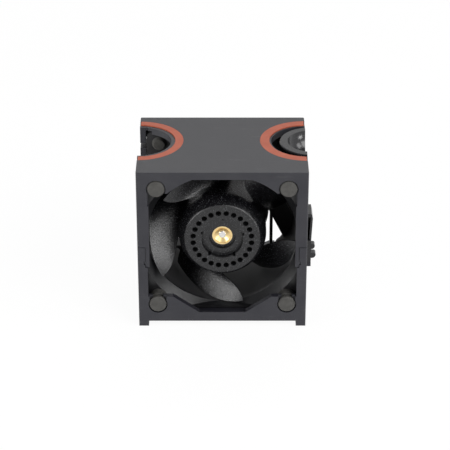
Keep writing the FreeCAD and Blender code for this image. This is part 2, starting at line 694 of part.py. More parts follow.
def hook_carrier():
    """Stiff lower arm with its round root, which carries the two catch hooks."""
    inner = WIDTH / 2 + ARM_STAND
    outer = WIDTH / 2 + CARRIER_REACH
    body = block(inner, outer, ARM_Y - ARM_WIDE / 2, ARM_Y + ARM_WIDE / 2, ROOT_Z, AXIS_Z + CARRIER_TOP)
    body = body.makeFillet(EDGE_ROUND, [e for e in body.Edges if e.BoundBox.XMin > outer - TINY
                                        and e.BoundBox.ZMin > ROOT_Z + TINY])
    root = rod(ROOT_RADIUS, ARM_Y - ARM_WIDE / 2, ARM_Y + ARM_WIDE / 2, ROOT_X, ROOT_Z)
    return body.fuse(root)


def catch_hook(y0):
    """Catch hook with a flat top, a rounded tip and a curved lead-in below."""
    top = AXIS_Z + HOOK_TOP
    low = top - HOOK_TALL
    face = WIDTH / 2 + CARRIER_REACH
    tip = face + HOOK_REACH
    lines = edges([(face - EDGE_ROUND, low), (face - EDGE_ROUND, top), (tip - HOOK_ROUND, top)], in_xz)
    corner = HOOK_ROUND * (1 - math.sqrt(0.5))
    lines += bend([(tip - HOOK_ROUND, top), (tip - corner, top - corner), (tip, top - HOOK_ROUND)], in_xz)
    lines += bend(spun_arc(tip, top - HOOK_ROUND, face, low), in_xz)
    lines += edges([(face, low), (face - EDGE_ROUND, low)], in_xz)
    return plate_across(lines, y0, y0 + HOOK_WIDE)


def latch_arm():
    """Neck, strip, hook carrier and the two hooks side by side."""
    hooks = [catch_hook(ARM_Y - ARM_WIDE / 2), catch_hook(ARM_Y + ARM_WIDE / 2 - HOOK_WIDE)]
    return hook_carrier().fuse([latch_neck()] + hooks)


def release_latch():
    """Thumb pad, arm and catch hooks in one moulding."""
    return joined(thumb_pad(), [latch_arm()])


# ---- fan frame -----------------------------------------------------------
def flange(y0):
    """Square flange with rounded corners."""
    half = FAN_SIDE / 2
    plate = block(-half, half, y0, y0 + FLANGE_THICK, AXIS_Z - half, AXIS_Z + half)
    corners = [e for e in plate.Edges if abs(e.BoundBox.YLength - FLANGE_THICK) < TINY]
    return plate.makeFillet(FLANGE_CORNER, corners)


def strut():
    """One thin outlet strut, leaving the motor base on a tangent."""
    reach = math.sqrt((BORE_RADIUS + BARREL_WALL / 2) ** 2 - STRUT_OFFSET ** 2)
    x0 = STRUT_OFFSET - STRUT_THICK / 2
    x1 = x0 + STRUT_THICK
    bar = block(x0, x1, FAN_FACE - STRUT_DEEP, FAN_FACE, AXIS_Z - reach, AXIS_Z)
    stub = block(BASE_RADIUS - BASE_WALL, x1, FAN_FACE - STRUT_DEEP, FAN_FACE, AXIS_Z - STRUT_STUB, AXIS_Z)
    return bar.fuse(stub)


def lead_channel():
    """Wide outlet strut that carries the motor leads to the frame."""
    middle = BORE_RADIUS + BARREL_WALL / 2
    reach = math.sqrt(middle ** 2 - CHANNEL_OFFSET ** 2)
    x1 = CHANNEL_OFFSET + CHANNEL_WIDE
    bar = block(CHANNEL_OFFSET, x1, FAN_FACE - STRUT_DEEP, FAN_FACE, AXIS_Z - reach, AXIS_Z + CHANNEL_ROOT)
    slot = block(CHANNEL_OFFSET + CHANNEL_WALL, x1 - CHANNEL_WALL, FAN_FACE - CHANNEL_DEEP, FAN_FACE + OVER,
                 AXIS_Z - reach, AXIS_Z)
    bar = about_axis(bar.cut(slot), -CHANNEL_TURN)
    return bar.common(rod(middle, 0, FAN_FACE))


def motor_base():
    """Cup on the struts that holds the bearing tube and the circuit board."""
    board_rear = BOARD_FRONT + BOARD_THICK
    middle = BASE_RADIUS - BASE_WALL / 2
    cup = tube(BASE_RADIUS, BASE_RADIUS - BASE_WALL, BASE_FRONT, FAN_FACE)
    ledge = tube(middle, BASE_RADIUS - 2 * BASE_WALL, board_rear, FAN_FACE)
    plate = rod(middle, FAN_FACE - BASE_PLATE, FAN_FACE)
    boss = rod(TUBE_RADIUS + BOSS_WALL, board_rear + BOSS_GAP, FAN_FACE)
    return cup.fuse([ledge, plate, boss]).cut(rod(TUBE_RADIUS, 0, FAN_FACE + OVER))


def inlet_flare():
    """Cutter for the inlet's flare, cut off straight along the frame's four edges."""
    wide = BORE_RADIUS + FLARE_WIDE
    cone = turned([(0, -FAN_FACE - OVER), (wide, -FAN_FACE - OVER), (wide, -FAN_FACE),
                   (BORE_RADIUS, -FAN_FACE + FLARE_DEEP), (0, -FAN_FACE + FLARE_DEEP)])
    half = FAN_SIDE / 2 - FLARE_RIM
    return cone.common(block(-half, half, -FACE, 0, AXIS_Z - half, AXIS_Z + half))


def outlet_flare():
    """Cutter for the outlet's shorter flare."""
    depth = FAN_FACE - 2 * OUTLET_FLARE
    return turned([(0, FAN_FACE), (BORE_RADIUS + OUTLET_FLARE, FAN_FACE), (BORE_RADIUS, depth), (0, depth)])


def fan_frame():
    """Inlet and outlet flanges, barrel, flares, struts and motor base in one moulding."""
    half = FAN_SIDE / 2
    keep = block(-half, half, -FAN_FACE, FAN_FACE, AXIS_Z - half, AXIS_Z + half)
    barrel = rod(BORE_RADIUS + BARREL_WALL, -FAN_FACE, FAN_FACE).common(keep)
    body = barrel.fuse([flange(-FAN_FACE), flange(FAN_FACE - FLANGE_THICK)])
    holes = [rod(PIN_SHANK_R + PIN_GAP, -FAN_FACE - OVER, FAN_FACE + OVER, x, z)
             for upper in (True, False) for x, z in pin_places(upper)]
    bore = rod(BORE_RADIUS, -FAN_FACE - OVER, FAN_FACE + OVER)
    body = body.cut([bore, inlet_flare(), outlet_flare()] + holes)
    room = rod(BASE_RADIUS - BASE_WALL / 2, 0, FAN_DEPTH)
    arms = [a.cut(room) for a in ringed(strut(), STRUTS) + [lead_channel()]]
    return body.fuse(arms + [motor_base()]).common(keep).removeSplitter()


# ---- impeller ------------------------------------------------------------
def blade_point(span, chord, side):
    """Point on one face of the first blade.

    Span runs 0 at the hub to 1 at the tip and chord runs 0 at the leading edge to 1 at the
    trailing edge.  The leading edge sweeps forward quickly near the hub, which makes the tips
    pointed, and the camber grows towards the tip.  Side is +1 or -1, half a thickness each way.
    """
    radius = HUB_RADIUS + (BORE_RADIUS - TIP_GAP - HUB_RADIUS) * span
    lead = LEAD_ANGLE + LEAD_SWEEP * (1 - (1 - span) ** LEAD_CURL)
    trail = TRAIL_ANGLE + TRAIL_SWEEP * span
    front = HUB_FRONT + LEAD_SET_BACK - LEAD_RAKE * span + LEAD_EASE * span ** 2
    back = HUB_REAR - TRAIL_SET_IN - TRAIL_RAKE * span
    slope = 1 - CAMBER * span
    angle = math.radians(lead + (trail - lead) * chord)
    depth = front + (back - front) * (slope * chord + (1 - slope) * chord ** 2)
    along = radius * math.radians(trail - lead)
    rise = (back - front) * (slope + 2 * (1 - slope) * chord)
    length = math.hypot(along, rise)
    half = side * (BLADE_EDGE + (BLADE_MID - BLADE_EDGE) * 4 * chord * (1 - chord)) / 2
    angle += half * rise / length / radius
    depth -= half * along / length
    return Vector(radius * math.cos(angle), depth, AXIS_Z + radius * math.sin(angle))


def blade():
    """One swept blade, from just inside the hub wall to the tip."""
    spans = [-BLADE_ROOT + (1 + BLADE_ROOT) * i / SPAN_STEPS for i in range(SPAN_STEPS + 1)]
    chords = [i / CHORD_STEPS for i in range(CHORD_STEPS + 1)]
    faces = []
    for side in (1, -1):
        surface = Part.BSplineSurface()
        surface.interpolate([[blade_point(s, c, side) for c in chords] for s in spans])
        faces.append(surface)
    u0, u1, v0, v1 = faces[0].bounds()
    rims = [Part.makeRuledSurface(faces[0].uIso(u).toShape(), faces[1].uIso(u).toShape()) for u in (u0, u1)]
    rims += [Part.makeRuledSurface(faces[0].vIso(v).toShape(), faces[1].vIso(v).toShape()) for v in (v0, v1)]
    shell = Part.makeShell([f.toShape() for f in faces] + rims)
    shell.sewShape()
    solid = Part.Solid(Part.Shell(shell.Faces))
    if solid.Volume < 0:
        solid.reverse()
    return solid


def hub_form():
    """Hub cup, closed in front, with its flank curving in to the rounded nose."""
    flank = spun_arc(HUB_RADIUS, HUB_FRONT + HUB_FLANK, HUB_FACE_R, HUB_FRONT)
    rest = [(HUB_FACE_R, HUB_FRONT), (0, HUB_FRONT), (0, CUP_FRONT), (YOKE_RADIUS, CUP_FRONT),
            (YOKE_RADIUS, HUB_REAR), (HUB_RADIUS, HUB_REAR), flank[0]]
    outline = Part.Wire(bend(flank, in_xy) + edges(rest, in_xy))
    body = Part.Face(outline).revolve(Vector(0, 0, 0), Vector(0, 1, 0), 360)
    body = body.makeFillet(HUB_NOSE_ROUND, [e for e in body.Edges if e.BoundBox.YMax < HUB_FRONT + TINY
                                            and e.BoundBox.XLength > HUB_FACE_R])
    body.translate(Vector(0, 0, AXIS_Z))
    return body


def hub():
    """Hub with its front recess, balance holes, vents and bush bore."""
    floor = HUB_FRONT + HUB_RECESS_DEEP
    recess = rod(HUB_RECESS_R, HUB_FRONT - OVER, floor)
    rim = tube(HUB_RECESS_R - HUB_LIP, HUB_RECESS_R - 2 * HUB_LIP, floor - HUB_LIP, floor + HUB_LIP)
    body = hub_form().cut(recess).fuse(rim)
    hole = rod(BALANCE_HOLE_R, HUB_FRONT - OVER, HUB_FRONT + BALANCE_DEEP, BALANCE_RING_R, AXIS_Z)
    vent = rod(VENT_R, HUB_FRONT - OVER, HUB_FRONT + VENT_DEEP, VENT_RING_R, AXIS_Z)
    holes = ringed(hole, BALANCE_HOLES, 180.0 / BALANCE_HOLES) + ringed(vent, BLADES, VENT_START)
    well = rod(BUSH_R + BUSH_WELL, HUB_FRONT - OVER, BUSH_FRONT)
    return body.cut(holes + [well, rod(BUSH_R, HUB_FRONT - OVER, HUB_REAR)])


def impeller():
    """Hub and five blades in one moulding."""
    core = hub()
    void = rod(YOKE_RADIUS, CUP_FRONT, HUB_REAR + OVER)
    blades = [b.cut(void) for b in ringed(blade(), BLADES)]
    return core.fuse(blades).removeSplitter()


# ---- motor, all turned about the fan axis ---------------------------------
def hub_bush():
    """Turned brass bush moulded into the hub, dished round the shaft end."""
    inner = BUSH_R - BUSH_RIM - BUSH_STEP
    return turned([(SHAFT_R, BUSH_FRONT + BUSH_DISH), (inner, BUSH_FRONT), (inner, BUSH_FRONT + BUSH_STEP),
                   (BUSH_R - BUSH_RIM, BUSH_FRONT + BUSH_STEP), (BUSH_R - BUSH_RIM, BUSH_FRONT),
                   (BUSH_R, BUSH_FRONT), (BUSH_R, BUSH_REAR), (SHAFT_R, BUSH_REAR)])


def shaft():
    """Ground steel shaft with bevelled ends and a groove for the retaining ring."""
    edge = SHAFT_R - SHAFT_BEVEL
    groove_rear = GROOVE_FRONT + GROOVE_WIDE
    return turned([(0, SHAFT_FRONT), (edge, SHAFT_FRONT), (SHAFT_R, SHAFT_FRONT + SHAFT_BEVEL),
                   (SHAFT_R, GROOVE_FRONT), (SHAFT_R - GROOVE_DEEP, GROOVE_FRONT),
                   (SHAFT_R - GROOVE_DEEP, groove_rear), (SHAFT_R, groove_rear),
                   (SHAFT_R, SHAFT_REAR - SHAFT_BEVEL), (edge, SHAFT_REAR), (0, SHAFT_REAR)])


def retaining_ring():
    """Split ring in the shaft's groove, behind the rear bearing."""
    inner = SHAFT_R - GROOVE_DEEP + CLIP_GAP
    y0 = GROOVE_FRONT + CLIP_GAP
    ring = tube(inner + CLIP_WALL, inner, y0, y0 + CLIP_THICK)
    half = CLIP_SPLIT / 2
    return ring.cut(block(-half, half, y0 - OVER, y0 + OVER, AXIS_Z, AXIS_Z + BEARING_R))


def preload_washer():
    """Coned spring washer that pushes the front inner race back."""
    inner = SHAFT_R + CLIP_GAP
    outer = SHAFT_R + WASHER_WIDE
    return turned([(inner, FRONT_BEARING - WASHER_THICK), (outer, BUSH_REAR),
                   (outer, BUSH_REAR + WASHER_THICK), (inner, FRONT_BEARING)])


def ball_track(y0):
    """Ring of lozenge section that cuts the ball track into both races of one bearing."""
    middle = y0 + BEARING_WIDE / 2
    reach = (BALL_R + BALL_GAP) / math.sin(math.radians(BALL_SLOPE))
    spread = reach * math.tan(math.radians(BALL_SLOPE))
    return turned([(BALL_CIRCLE - reach, middle), (BALL_CIRCLE, middle + spread),
                   (BALL_CIRCLE + reach, middle), (BALL_CIRCLE, middle - spread)])


def inner_race(y0):
    """Inner race on the shaft."""
    return tube(SHAFT_R + RACE_THICK, SHAFT_R, y0, y0 + BEARING_WIDE).cut(ball_track(y0))


def outer_race(y0):
    """Outer race in the bearing tube."""
    return tube(BEARING_R, BEARING_R - RACE_THICK, y0, y0 + BEARING_WIDE).cut(ball_track(y0))


def balls(y0):
    """Ball set of one bearing."""
    ball = Part.makeSphere(BALL_R, Vector(BALL_CIRCLE, y0 + BEARING_WIDE / 2, AXIS_Z))
    return ringed(ball, BALLS)


def bearing_tube():
    """Brass tube that holds both bearings and carries the stator."""
    outer = rod(TUBE_RADIUS, TUBE_FRONT, TUBE_REAR)
    front = rod(BEARING_R, TUBE_FRONT - OVER, FRONT_BEARING + BEARING_WIDE)
    rear = rod(BEARING_R, REAR_BEARING, TUBE_REAR + OVER)
    return outer.cut([front, rear, rod(BEARING_R - TUBE_STEP, TUBE_FRONT, TUBE_REAR)])


def bearing_cap():
    """Plug that closes the rear end of the bearing tube."""
    head = rod(TUBE_RADIUS - CAP_GAP, TUBE_REAR + CAP_GAP, FAN_FACE - CAP_SET_IN)
    plug = rod(BEARING_R - CAP_FIT, TUBE_REAR - CAP_PLUG, TUBE_REAR + 2 * CAP_GAP)
    return joined(head, [plug])


def rotor_yoke():
    """Drawn steel cup inside the hub."""
    cup = tube(YOKE_RADIUS, YOKE_RADIUS - YOKE_THICK, CUP_FRONT, HUB_REAR - YOKE_SET_IN)
    return joined(cup, [tube(YOKE_RADIUS, BUSH_R + YOKE_HOLE_GAP, CUP_FRONT, CUP_FRONT + YOKE_THICK)])


def magnet_ring():
    """Bonded ring magnet on the inside of the yoke."""
    middle = (STATOR_FRONT + STATOR_REAR) / 2
    return tube(YOKE_RADIUS - YOKE_THICK, MAGNET_RADIUS, middle - MAGNET_LONG / 2, middle + MAGNET_LONG / 2)


def star(y0, y1, inset=0.0, bore_gap=0.0):
    """Six-toothed star between two depths, thinned all round by inset, its bore widened by bore_gap."""
    shoes = tube(CORE_RADIUS - inset, CORE_RADIUS - SHOE_THICK + inset / 2, y0, y1)
    gap = block(0, CORE_RADIUS + OVER, y0 - OVER, y1 + OVER, AXIS_Z - SHOE_SLOT / 2, AXIS_Z + SHOE_SLOT / 2)
    shoes = shoes.cut(ringed(gap, TEETH, 180.0 / TEETH))
    middle = tube(TUBE_RADIUS + CORE_RING, TUBE_RADIUS + bore_gap, y0, y1)
    half = TOOTH_WIDE / 2 - inset / 4
    root = TUBE_RADIUS + CORE_RING / 2
    tooth = block(root, CORE_RADIUS - SHOE_THICK / 2, y0, y1, AXIS_Z - half, AXIS_Z + half)
    return joined(middle, ringed(tooth, TEETH) + [shoes])


def stator_core():
    """Lamination stack pressed on the bearing tube."""
    return star(STATOR_FRONT, STATOR_REAR)


def insulator(y0, y1):
    """Plastic end insulator of the stator."""
    return star(y0, y1, INSULATOR_INSET, INSULATOR_BORE_GAP)


def coils():
    """One winding round each tooth and its two insulators."""
    front = STATOR_FRONT - INSULATOR_THICK
    rear = STATOR_REAR + INSULATOR_THICK
    r0 = TUBE_RADIUS + CORE_RING + COIL_ROOT_GAP
    r1 = CORE_RADIUS - SHOE_THICK - COIL_TIP_GAP
    half = TOOTH_WIDE / 2 + COIL_GAP
    wide = half + COIL_THICK
    outer = block(r0, r1, front - COIL_THICK, rear + COIL_THICK, AXIS_Z - wide, AXIS_Z + wide)
    long_edges = [e for e in outer.Edges if abs(e.BoundBox.XLength - (r1 - r0)) < TINY]
    outer = outer.makeFillet(COIL_ROUND, long_edges)
    y0 = front - COIL_END_GAP
    y1 = rear + COIL_END_GAP
    inner = block(r0 - OVER, r1 + OVER, y0, y1, AXIS_Z - half, AXIS_Z + half)
    return ringed(outer.cut(inner), TEETH)


def circuit_board():
    """Round driver board on the ledge of the motor base."""
    outer = BASE_RADIUS - BASE_WALL - BOARD_GAP
    return tube(outer, TUBE_RADIUS + BOSS_WALL + BOARD_GAP, BOARD_FRONT, BOARD_FRONT + BOARD_THICK)


def board_chip(radius, angle, size, y0):
    """Rectangular component on the board, its front at y0."""
    wide, long, tall = size
    chip = block(radius - wide / 2, radius + wide / 2, y0, y0 + tall, AXIS_Z - long / 2, AXIS_Z + long / 2)
    return about_axis(chip, angle)


# ---- power connector -----------------------------------------------------
def contact_places():
    """Centres of the contact cells, as (x, y)."""
    xs = [PLUG_X + (i - (CONTACT_ROWS - 1) / 2) * CONTACT_PITCH for i in range(CONTACT_ROWS)]
    ys = [(j - (CONTACTS_PER_ROW - 1) / 2) * CONTACT_PITCH for j in range(CONTACTS_PER_ROW)]
    return [(x, y) for x in xs for y in ys]


def power_connector():
    """Plug-in connector body standing in the floor, with its contact cells open below."""
    x0 = PLUG_X - PLUG_WIDE / 2
    x1 = PLUG_X + PLUG_WIDE / 2
    y1 = PLUG_LONG / 2
    tall = PLUG_TOP - PLUG_LIFT
    body = block(x0, x1, -y1, y1, PLUG_LIFT, PLUG_TOP)
    body = body.makeFillet(EDGE_ROUND, [e for e in body.Edges if abs(e.BoundBox.ZLength - tall) < TINY])
    y1 += PLUG_SHOULDER
    shoulder = block(x0, x1, -y1, y1, FLOOR_TOP, FLOOR_TOP + PLUG_SHOULDER)
    body = body.fuse(shoulder)
    half = CONTACT_CELL / 2
    roof = PLUG_TOP - PLUG_ROOF
    cells = [block(x - half, x + half, y - half, y + half, 0, roof) for x, y in contact_places()]
    return body.cut(cells).removeSplitter()


def power_contacts():
    """Folded spring contacts, one in each cell."""
    half = CONTACT_CELL / 2 - CONTACT_GAP
    roof = PLUG_TOP - PLUG_ROOF
    contacts = []
    wide = CONTACT_WIDE / 2
    inner = half - CONTACT_THICK
    for x, y in contact_places():
        body = block(x - half, x + half, y - wide, y + wide, PLUG_LIFT + CONTACT_LIFT, roof)
        gap = block(x - inner, x + inner, y - wide - OVER, y + wide + OVER, 0, roof - CONTACT_BRIDGE)
        contacts.append(body.cut(gap))
    return contacts


# ---- nodes ---------------------------------------------------------------
def nodes():
    """Every piece by name; a list is a group of separate solids."""
    front_pin_set = front_pins()
    board_rear = BOARD_FRONT + BOARD_THICK
    sensor_front = BOARD_FRONT - SENSOR_SIZE[2]
    return {
        "upper_cover": upper_cover(),
        "lower_bracket": lower_bracket(),
        "touch_ring_left": touch_ring(-1, RING_OUTER_LEFT),
        "touch_ring_right": touch_ring(1, RING_OUTER_RIGHT),
        "release_latch": release_latch(),
        "front_isolator_pins": front_pin_set,
        "rear_isolator_pins": [flipped(p) for p in front_pin_set],
        "fan_frame": fan_frame(),
        "impeller": impeller(),
        "hub_bush": hub_bush(),
        "shaft": shaft(),
        "retaining_ring": retaining_ring(),
        "preload_washer": preload_washer(),
        "front_bearing_inner_race": inner_race(FRONT_BEARING),
        "front_bearing_outer_race": outer_race(FRONT_BEARING),
        "front_bearing_balls": balls(FRONT_BEARING),
        "rear_bearing_inner_race": inner_race(REAR_BEARING),
        "rear_bearing_outer_race": outer_race(REAR_BEARING),
        "rear_bearing_balls": balls(REAR_BEARING),
        "bearing_tube": bearing_tube(),
        "bearing_cap": bearing_cap(),
        "rotor_yoke": rotor_yoke(),
        "magnet_ring": magnet_ring(),
        "stator_core": stator_core(),
        "front_insulator": insulator(STATOR_FRONT - INSULATOR_THICK, STATOR_FRONT),
        "rear_insulator": insulator(STATOR_REAR, STATOR_REAR + INSULATOR_THICK),
        "stator_coils": coils(),
        "circuit_board": circuit_board(),
        "hall_sensor": board_chip(MAGNET_RADIUS - SENSOR_REACH, SENSOR_ANGLE, SENSOR_SIZE, sensor_front),
        "driver_chip": board_chip(DRIVER_RADIUS, DRIVER_ANGLE, DRIVER_SIZE, board_rear),
        "board_capacitors": [board_chip(CAPACITOR_RADIUS, angle, CAPACITOR_SIZE, board_rear)
                             for angle in CAPACITOR_ANGLES],
        "power_connector": power_connector(),
        "power_contacts": power_contacts(),
    }


os.makedirs("parts", exist_ok=True)
for name, shape in nodes().items():
    solid = Part.makeCompound(shape) if isinstance(shape, list) else shape
    solid.exportStep(f"parts/{name}.step")
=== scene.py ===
import math

import bpy
import numpy as np
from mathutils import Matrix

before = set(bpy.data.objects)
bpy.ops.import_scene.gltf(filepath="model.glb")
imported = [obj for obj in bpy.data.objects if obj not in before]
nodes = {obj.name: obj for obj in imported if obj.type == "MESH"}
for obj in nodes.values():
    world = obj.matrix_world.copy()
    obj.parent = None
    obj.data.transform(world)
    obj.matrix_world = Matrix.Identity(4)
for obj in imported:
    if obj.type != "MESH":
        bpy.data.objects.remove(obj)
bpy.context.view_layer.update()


# ---- camera, floor and light ------------------------------------------------
# A small product set: a long lens looks down on the module from in front, over a white sheet
# that sweeps up behind it, with soft boxes round it, a low one at the right, one over the sweep
# and a dim, even room.
lens_mm = 142.66
camera_place = (0.00103, -0.6225, 0.36284)
camera_tilt = 61.98      # degrees up from looking straight down
camera_data = bpy.data.cameras.new("camera")
camera_data.lens = lens_mm
camera_data.sensor_width = 36.0
camera = bpy.data.objects.new("camera", camera_data)
camera.location = camera_place
camera.rotation_euler = (math.radians(camera_tilt), 0.0, 0.0)
bpy.context.scene.collection.objects.link(camera)
bpy.context.scene.camera = camera
bpy.context.scene.view_settings.view_transform = "Standard"


def soft_box(name, place, aim, wide, tall, watts):
    """Rectangular lamp at one point that faces another."""
    lamp = bpy.data.lights.new(name, "AREA")
    lamp.shape = "RECTANGLE"
    lamp.size = wide
    lamp.size_y = tall
    lamp.energy = watts
    box = bpy.data.objects.new(name, lamp)
    box.location = place
    heading = np.array(aim) - np.array(place)
    yaw = math.atan2(heading[0], -heading[1])
    tilt = math.atan2(math.hypot(heading[0], heading[1]), -heading[2])
    box.rotation_euler = (tilt, 0.0, yaw + math.pi)
    bpy.context.scene.collection.objects.link(box)


soft_box("right_box", (0.47, -0.52, 0.58), (0.0, 0.0, 0.03), 0.50, 0.44, 4.9)
soft_box("left_box", (-0.64, -0.54, 0.24), (0.0, 0.0, 0.03), 0.46, 0.26, 3.2)
soft_box("low_box", (0.74, -0.51, 0.07), (0.0, 0.0, 0.05), 0.24, 0.16, 1.8)
soft_box("right_side_box", (0.76, -0.14, 0.50), (0.0, 0.0, 0.03), 0.30, 0.30, 1.7)
soft_box("left_side_box", (-0.88, -0.06, 0.20), (0.0, 0.0, 0.03), 0.30, 0.26, 1.6)
soft_box("back_box", (0.0, 0.70, 0.80), (0.0, 0.0, 0.03), 0.90, 0.35, 3.2)


class Value:
    """Socket of a material.  Arithmetic on it adds Math nodes, and node() adds any other node."""

    def __init__(self, tree, socket):
        self.tree = tree
        self.socket = socket

    def node(self, kind, settings=None, output=0, stops=None, **inputs):
        """New node: its settings and ramp stops are set first, then values or links of its inputs."""
        new = self.tree.nodes.new(kind)
        for key, setting in (settings or {}).items():
            setattr(new, key, setting)
        if stops:
            while len(new.color_ramp.elements) < len(stops):
                new.color_ramp.elements.new(1.0)
            for element, (place, colour) in zip(new.color_ramp.elements, stops):
                element.position = place
                element.color = colour
        for key, given in inputs.items():
            numbered = key.startswith("in") and key[2:].isdigit()
            target = new.inputs[int(key[2:]) if numbered else key]
            if isinstance(given, Value):
                self.tree.links.new(given.socket, target)
            else:
                target.default_value = given
        return Value(self.tree, new.outputs[output])

    def math(self, operation, *others):
        """Math node on this value and the others, in that order."""
        given = dict(zip(("in0", "in1", "in2"), (self,) + others))
        return self.node("ShaderNodeMath", {"operation": operation}, **given)

    def __add__(self, other):
        return self.math("ADD", other)

    __radd__ = __add__

    def __mul__(self, other):
        return self.math("MULTIPLY", other)

    __rmul__ = __mul__

    def __sub__(self, other):
        return self.math("SUBTRACT", other)

    def __rsub__(self, other):
        return self.node("ShaderNodeMath", {"operation": "SUBTRACT"}, in0=other, in1=self)

    def clamped(self, low, high):
        """Zero below low, one above high and straight between."""
        limits = {"From Min": low, "From Max": high}
        return self.node("ShaderNodeMapRange", {"clamp": True}, Value=self, **limits)

    def blend(self, first, second):
        """Colour that goes from the first to the second as this value goes from 0 to 1."""
        return self.node("ShaderNodeMix", {"data_type": "RGBA"}, output=2, in0=self, in6=first, in7=second)


class Finish:
    """A material with one shader.  Plain numbers are set on the shader, sockets are linked to it."""

    def __init__(self, name, shader="ShaderNodeBsdfPrincipled"):
        self.material = bpy.data.materials.new(name)
        self.material.use_nodes = True
        tree = self.material.node_tree
        tree.nodes.clear()
        self.output = tree.nodes.new("ShaderNodeOutputMaterial")
        self.shader = tree.nodes.new(shader)
        tree.links.new(self.shader.outputs[0], self.output.inputs["Surface"])
        self.tree = tree
        coordinates = tree.nodes.new("ShaderNodeTexCoord")
        self.place = Value(tree, coordinates.outputs["Object"])

    def set(self, **inputs):
        """Plain value or link for each named shader socket, with _ for a space."""
        for key, given in inputs.items():
            target = self.shader.inputs[key.replace("_", " ")]
            if isinstance(given, Value):
                self.tree.links.new(given.socket, target)
            else:
                target.default_value = given
        return self

    def noise(self, size_mm, detail=2.0, roughness=0.5, stretch=(1.0, 1.0, 1.0)):
        """Cloudy value whose patches are about size_mm across, wider along a stretched axis."""
        at = self.place.node("ShaderNodeMapping", Vector=self.place, Scale=tuple(1.0 / s for s in stretch))
        return self.place.node("ShaderNodeTexNoise", Vector=at, Scale=1000.0 / size_mm, Detail=detail,
                               Roughness=roughness)

    def bump(self, height, depth_mm, strength=1.0):
        """Normal from a height of 0 to 1 that is depth_mm deep."""
        return self.place.node("ShaderNodeBump", Height=height, Distance=depth_mm / 1000.0, Strength=strength)


def dress(finish, *names):
    """Gives CAD nodes one finish."""
    for name in names:
        for slot in nodes[name].material_slots:
            slot.material = finish.material


# The sheet lies flat and then curves up behind the module.  Seen directly or in a gloss it is
# nearly pure white, and it keeps the soft shadow that the module throws on it.
sheet_half = 1.1
sheet_front = 0.45
sweep_start = 0.75
sweep_round = 0.45
sweep_rise = 0.3         # upright part above the curve
sheet_glow = 0.94        # share of plain white when it is seen directly or in a gloss
turn = np.linspace(0.0, math.pi / 2, 25)
run = np.concatenate([[-sheet_front], sweep_start + sweep_round * np.sin(turn), [sweep_start + sweep_round]])
rise = np.concatenate([[0.0], sweep_round * (1.0 - np.cos(turn)), [sweep_round + sweep_rise]])
corners = [(side * sheet_half, y, z) for y, z in zip(run, rise) for side in (-1, 1)]
strips = [(2 * i, 2 * i + 1, 2 * i + 3, 2 * i + 2) for i in range(len(run) - 1)]
sheet_mesh = bpy.data.meshes.new("sheet")
sheet_mesh.from_pydata(corners, [], strips)
sheet_mesh.shade_smooth()
sheet = bpy.data.objects.new("sheet", sheet_mesh)
bpy.context.scene.collection.objects.link(sheet)
white_sheet = Finish("white_sheet", "ShaderNodeBsdfDiffuse").set(Color=(0.95, 0.95, 0.95, 1.0))
rays = white_sheet.tree.nodes.new("ShaderNodeLightPath")
seen = Value(white_sheet.tree, rays.outputs["Is Camera Ray"])
seen = seen.math("MAXIMUM", Value(white_sheet.tree, rays.outputs["Is Glossy Ray"]))
seen = seen.math("MAXIMUM", Value(white_sheet.tree, rays.outputs["Is Transmission Ray"]))
glow = seen.node("ShaderNodeEmission", Color=(1.0, 1.0, 1.0, 1.0), Strength=1.0)
matt = Value(white_sheet.tree, white_sheet.shader.outputs[0])
lit = seen.node("ShaderNodeMixShader", in0=seen * sheet_glow, in1=matt, in2=glow)
white_sheet.tree.links.new(lit.socket, white_sheet.output.inputs["Surface"])
sheet_mesh.materials.append(white_sheet.material)

# The room is even and dim for the light that falls on things.  Seen directly it is white, and
# in a gloss it is white round the horizon and fades to the dim ceiling.
world = bpy.data.worlds.new("white_room")
world.use_nodes = True
bpy.context.scene.world = world
room = world.node_tree
room.nodes.clear()
room_out = room.nodes.new("ShaderNodeOutputWorld")
room_rays = room.nodes.new("ShaderNodeLightPath")
heading = Value(room, room.nodes.new("ShaderNodeTexCoord").outputs["Generated"])
height = heading.node("ShaderNodeSeparateXYZ", output=2, Vector=heading)
room_light = 0.30
walls = 1.0 - height.clamped(0.20, 0.70)
shiny = Value(room, room_rays.outputs["Is Glossy Ray"])
shiny = shiny.math("MAXIMUM", Value(room, room_rays.outputs["Is Transmission Ray"]))
strength = (shiny * walls).math("MAXIMUM", room_light)
strength = strength.math("MAXIMUM", Value(room, room_rays.outputs["Is Camera Ray"]))
backdrop = strength.node("ShaderNodeBackground", Color=(1.0, 1.0, 1.0, 1.0), Strength=strength)
room.links.new(backdrop.socket, room_out.inputs["Surface"])


# ---- carrier: upper cover and lower bracket ----------------------------------
# Two glass-filled plastic mouldings that snap together round the fan.  The tool is spark
# eroded, so the faces are satin with a fine even grain, a little paler where hands rub edges.
charcoal = Finish("carrier_plastic")
grain = charcoal.noise(0.22, 3.0, 0.6)
clouds = charcoal.noise(9.0, 2.0, 0.5)
scuffs = charcoal.noise(1.6, 4.0, 0.7, (6.0, 1.0, 1.0)).clamped(0.60, 0.72)
shade = clouds.clamped(0.35, 0.65).blend((0.0100, 0.0100, 0.0150, 1.0), (0.0150, 0.0150, 0.0200, 1.0))
shade = (scuffs * 0.35).blend(shade, (0.040, 0.040, 0.044, 1.0))
charcoal.set(Base_Color=shade, Roughness=0.40 + 0.10 * grain + 0.06 * clouds - 0.05 * scuffs,
             Specular_IOR_Level=0.5, Normal=charcoal.bump(grain, 0.030, 0.55))
dress(charcoal, "upper_cover", "lower_bracket")


